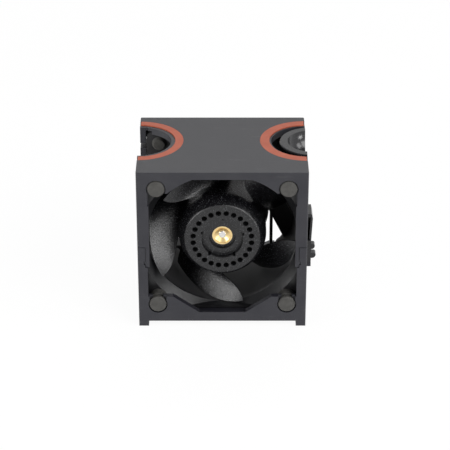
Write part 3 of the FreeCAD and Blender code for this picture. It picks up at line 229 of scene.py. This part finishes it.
# ---- touch rings ---------------------------------------------------------------
# Two half rings of terracotta plastic pressed into grooves round the finger holes, the colour
# that says a part may be pulled while the machine runs.
terracotta = Finish("touch_plastic")
grain = terracotta.noise(0.20, 2.0, 0.6)
clouds = terracotta.noise(5.0, 3.0, 0.5)
shade = clouds.clamped(0.3, 0.7).blend((0.35, 0.076, 0.038, 1.0), (0.42, 0.100, 0.052, 1.0))
terracotta.set(Base_Color=shade, Roughness=0.50 + 0.08 * grain, Specular_IOR_Level=0.32,
               Normal=terracotta.bump(grain, 0.02, 0.4))
dress(terracotta, "touch_ring_left", "touch_ring_right")


# ---- release latch -------------------------------------------------------------
# One springy moulding in smooth unfilled plastic: the polished thumb dish shines, the arm is
# duller where the tool's parting line and the wall rub on it.
slate = Finish("latch_plastic")
grain = slate.noise(0.35, 2.0, 0.5)
smear = slate.noise(3.5, 4.0, 0.6)
shade = smear.clamped(0.3, 0.7).blend((0.008, 0.008, 0.009, 1.0), (0.013, 0.013, 0.015, 1.0))
slate.set(Base_Color=shade, Roughness=0.17 + 0.06 * smear, Specular_IOR_Level=0.45,
          Normal=slate.bump(grain, 0.008, 0.4))
dress(slate, "release_latch")


# ---- isolator pins -------------------------------------------------------------
# Eight soft rubber spools that hold the fan off the carrier.  Warm grey-black, matt, with the
# faint bloom that rubber gets on its face.
rubber = Finish("pin_rubber")
speck = rubber.noise(0.16, 3.0, 0.7)
bloom = rubber.noise(1.8, 3.0, 0.6)
shade = bloom.clamped(0.35, 0.65).blend((0.038, 0.037, 0.034, 1.0), (0.056, 0.054, 0.050, 1.0))
rubber.set(Base_Color=shade, Roughness=0.62 + 0.16 * speck, Specular_IOR_Level=0.4,
           Normal=rubber.bump(speck, 0.02, 0.5))
dress(rubber, "front_isolator_pins", "rear_isolator_pins")


# ---- fan frame -----------------------------------------------------------------
# Glass-filled plastic in one shot with its struts and motor base.  Blacker than the carrier,
# half glossy at the inlet flare and matt from the barrel back, where the tool was left rough.

def depth_of(finish):
    """Place along the fan axis, in metres from the fan's middle; the air leaves towards plus."""
    return finish.place.node("ShaderNodeSeparateXYZ", output=1, Vector=finish.place)


black_frame = Finish("fan_frame_plastic")
grain = black_frame.noise(0.25, 3.0, 0.6)
flow = black_frame.noise(6.0, 3.0, 0.6, (1.0, 2.5, 1.0))
flare_end = -0.0155      # metres from the fan's middle
barrel_start = -0.0125
barrel = depth_of(black_frame).clamped(flare_end, barrel_start)
shade = flow.clamped(0.3, 0.7).blend((0.006, 0.006, 0.007, 1.0), (0.010, 0.010, 0.011, 1.0))
black_frame.set(Base_Color=shade, Roughness=0.25 + 0.08 * grain + 0.05 * flow + 0.40 * barrel,
                Normal=black_frame.bump(grain, 0.012, 0.5))
dress(black_frame, "fan_frame", "bearing_cap")


# ---- impeller ------------------------------------------------------------------
# Hub and swept blades in one stiff, heavily glass-filled moulding.  The fibres show as a fine
# pale speckle, and the skin is half glossy.
fibre_black = Finish("impeller_plastic")
speck = fibre_black.noise(0.6, 6.0, 0.85)
flow = fibre_black.noise(4.0, 3.0, 0.6)
pale = speck.clamped(0.57, 0.63)
shade = pale.blend((0.004, 0.004, 0.005, 1.0), (0.085, 0.087, 0.092, 1.0))
fibre_black.set(Base_Color=shade, Roughness=0.15 + 0.12 * speck + 0.05 * flow,
                Normal=fibre_black.bump(speck, 0.11, 0.9))
dress(fibre_black, "impeller")


# ---- bush and shaft ------------------------------------------------------------
# A turned brass bush is moulded into the hub, and the ground end of the steel shaft shows in
# its middle.  The lathe leaves fine rings round the axis.
axis_z = 0.0349


def turned_rings(finish, pitch_mm):
    """Fine rings round the fan axis: a wave of the distance from the axis in the XZ plane."""
    flat = finish.place.node("ShaderNodeVectorMath", {"operation": "MULTIPLY_ADD"}, in0=finish.place,
                             in1=(1.0, 0.0, 1.0), in2=(0.0, 0.0, -axis_z))
    distance = finish.place.node("ShaderNodeVectorMath", {"operation": "LENGTH"}, output=1, in0=flat)
    return (distance * (2000.0 * math.pi / pitch_mm)).math("SINE") * 0.5 + 0.5


brass = Finish("bush_brass")
rings = turned_rings(brass, 0.16)
tarnish = brass.noise(1.2, 3.0, 0.6)
shade = tarnish.clamped(0.35, 0.7).blend((0.90, 0.70, 0.36, 1.0), (0.78, 0.56, 0.26, 1.0))
brass.set(Base_Color=shade, Metallic=1.0, Roughness=0.24 + 0.14 * tarnish,
          Normal=brass.bump(rings, 0.008, 0.5))
dress(brass, "hub_bush", "bearing_tube")

ground_steel = Finish("ground_steel")
rings = turned_rings(ground_steel, 0.11)
haze = ground_steel.noise(0.8, 3.0, 0.6)
shade = haze.clamped(0.3, 0.7).blend((0.80, 0.79, 0.77, 1.0), (0.66, 0.65, 0.64, 1.0))
ground_steel.set(Base_Color=shade, Metallic=1.0, Roughness=0.16 + 0.12 * haze,
                 Normal=ground_steel.bump(rings, 0.003, 0.4))
dress(ground_steel, "shaft", "front_bearing_inner_race", "front_bearing_outer_race", "front_bearing_balls",
      "rear_bearing_inner_race", "rear_bearing_outer_race", "rear_bearing_balls")


# ---- spring parts on the shaft -------------------------------------------------
# Retaining ring and coned washer, punched from hardened strip and left blue-grey from the
# furnace.
blued = Finish("spring_steel")
haze = blued.noise(0.7, 4.0, 0.65)
shade = haze.clamped(0.3, 0.7).blend((0.30, 0.32, 0.36, 1.0), (0.42, 0.40, 0.38, 1.0))
blued.set(Base_Color=shade, Metallic=1.0, Roughness=0.30 + 0.15 * haze, Normal=blued.bump(haze, 0.01, 0.4))
dress(blued, "retaining_ring", "preload_washer")


# ---- rotor cup and magnet ------------------------------------------------------
# The cup is deep drawn from zinc-plated steel and carries a bonded ferrite magnet, dull and
# faintly granular.
drawn_steel = Finish("drawn_steel")
streaks = drawn_steel.noise(0.5, 3.0, 0.6, (1.0, 12.0, 1.0))
spangle = drawn_steel.noise(2.2, 3.0, 0.6)
shade = spangle.clamped(0.3, 0.7).blend((0.50, 0.51, 0.53, 1.0), (0.62, 0.62, 0.60, 1.0))
drawn_steel.set(Base_Color=shade, Metallic=1.0, Roughness=0.30 + 0.15 * streaks,
                Normal=drawn_steel.bump(streaks, 0.008, 0.5))
dress(drawn_steel, "rotor_yoke")

ferrite = Finish("bonded_ferrite")
speck = ferrite.noise(0.12, 3.0, 0.8)
shade = speck.clamped(0.4, 0.75).blend((0.045, 0.045, 0.048, 1.0), (0.110, 0.108, 0.106, 1.0))
ferrite.set(Base_Color=shade, Roughness=0.60 + 0.20 * speck, Normal=ferrite.bump(speck, 0.02, 0.6))
dress(ferrite, "magnet_ring")


# ---- stator --------------------------------------------------------------------
# Stacked laminations with natural nylon ends, and enamelled copper wound on each tooth.  The
# stack shows its sheets as fine lines, and the coils show their turns.
laminations = Finish("laminations")
sheet_pitch = 0.00035
sheets = (depth_of(laminations) * (2.0 * math.pi / sheet_pitch)).math("SINE") * 0.5 + 0.5
haze = laminations.noise(1.0, 3.0, 0.6)
shade = haze.clamped(0.3, 0.7).blend((0.30, 0.31, 0.33, 1.0), (0.40, 0.40, 0.40, 1.0))
laminations.set(Base_Color=shade, Metallic=1.0, Roughness=0.38 + 0.20 * haze,
                Normal=laminations.bump(sheets, 0.03, 0.8))
dress(laminations, "stator_core")

nylon = Finish("natural_nylon")
grain = nylon.noise(0.3, 2.0, 0.6)
clouds = nylon.noise(3.0, 2.0, 0.6)
shade = clouds.clamped(0.3, 0.7).blend((0.74, 0.71, 0.62, 1.0), (0.80, 0.78, 0.71, 1.0))
nylon.set(Base_Color=shade, Roughness=0.42 + 0.12 * grain, Normal=nylon.bump(grain, 0.01, 0.4))
dress(nylon, "front_insulator", "rear_insulator")

copper = Finish("enamelled_copper")
turns = turned_rings(copper, 0.30)
haze = copper.noise(0.9, 3.0, 0.6)
shade = haze.clamped(0.3, 0.7).blend((0.62, 0.25, 0.10, 1.0), (0.74, 0.34, 0.15, 1.0))
shade = (turns * 0.6).blend((0.20, 0.07, 0.03, 1.0), shade)
copper.set(Base_Color=shade, Metallic=0.85, Roughness=0.25 + 0.15 * haze, Coat_Weight=0.5,
           Normal=copper.bump(turns, 0.10, 0.9))
dress(copper, "stator_coils")


# ---- circuit board and its chips -----------------------------------------------
# Green solder mask over a glass laminate, with moulded black chips and brown ceramic
# capacitors soldered on its rear.
solder_mask = Finish("solder_mask")
weave = solder_mask.noise(0.5, 2.0, 0.5)
clouds = solder_mask.noise(3.0, 3.0, 0.5)
shade = clouds.clamped(0.3, 0.7).blend((0.010, 0.085, 0.035, 1.0), (0.016, 0.115, 0.048, 1.0))
solder_mask.set(Base_Color=shade, Roughness=0.30 + 0.10 * weave, Normal=solder_mask.bump(weave, 0.01, 0.4))
dress(solder_mask, "circuit_board")

epoxy = Finish("chip_epoxy")
speck = epoxy.noise(0.10, 3.0, 0.7)
shade = speck.clamped(0.3, 0.8).blend((0.015, 0.015, 0.016, 1.0), (0.030, 0.030, 0.032, 1.0))
epoxy.set(Base_Color=shade, Roughness=0.55 + 0.15 * speck, Normal=epoxy.bump(speck, 0.01, 0.5))
dress(epoxy, "hall_sensor", "driver_chip")

ceramic = Finish("chip_ceramic")
speck = ceramic.noise(0.15, 3.0, 0.7)
shade = speck.clamped(0.3, 0.8).blend((0.38, 0.27, 0.17, 1.0), (0.50, 0.37, 0.25, 1.0))
ceramic.set(Base_Color=shade, Roughness=0.45 + 0.15 * speck, Normal=ceramic.bump(speck, 0.008, 0.4))
dress(ceramic, "board_capacitors")


# ---- power connector -----------------------------------------------------------
# Black glass-filled nylon body under the floor, with folded contacts of plated spring bronze
# in its cells.
plug_nylon = Finish("plug_nylon")
grain = plug_nylon.noise(0.25, 3.0, 0.6)
clouds = plug_nylon.noise(2.5, 2.0, 0.6)
shade = clouds.clamped(0.3, 0.7).blend((0.018, 0.018, 0.019, 1.0), (0.026, 0.026, 0.028, 1.0))
plug_nylon.set(Base_Color=shade, Roughness=0.40 + 0.12 * grain, Normal=plug_nylon.bump(grain, 0.012, 0.5))
dress(plug_nylon, "power_connector")

plated = Finish("plated_bronze")
haze = plated.noise(0.6, 3.0, 0.6)
shade = haze.clamped(0.3, 0.7).blend((0.88, 0.70, 0.34, 1.0), (0.80, 0.60, 0.28, 1.0))
plated.set(Base_Color=shade, Metallic=1.0, Roughness=0.20 + 0.12 * haze, Normal=plated.bump(haze, 0.004, 0.4))
dress(plated, "power_contacts")
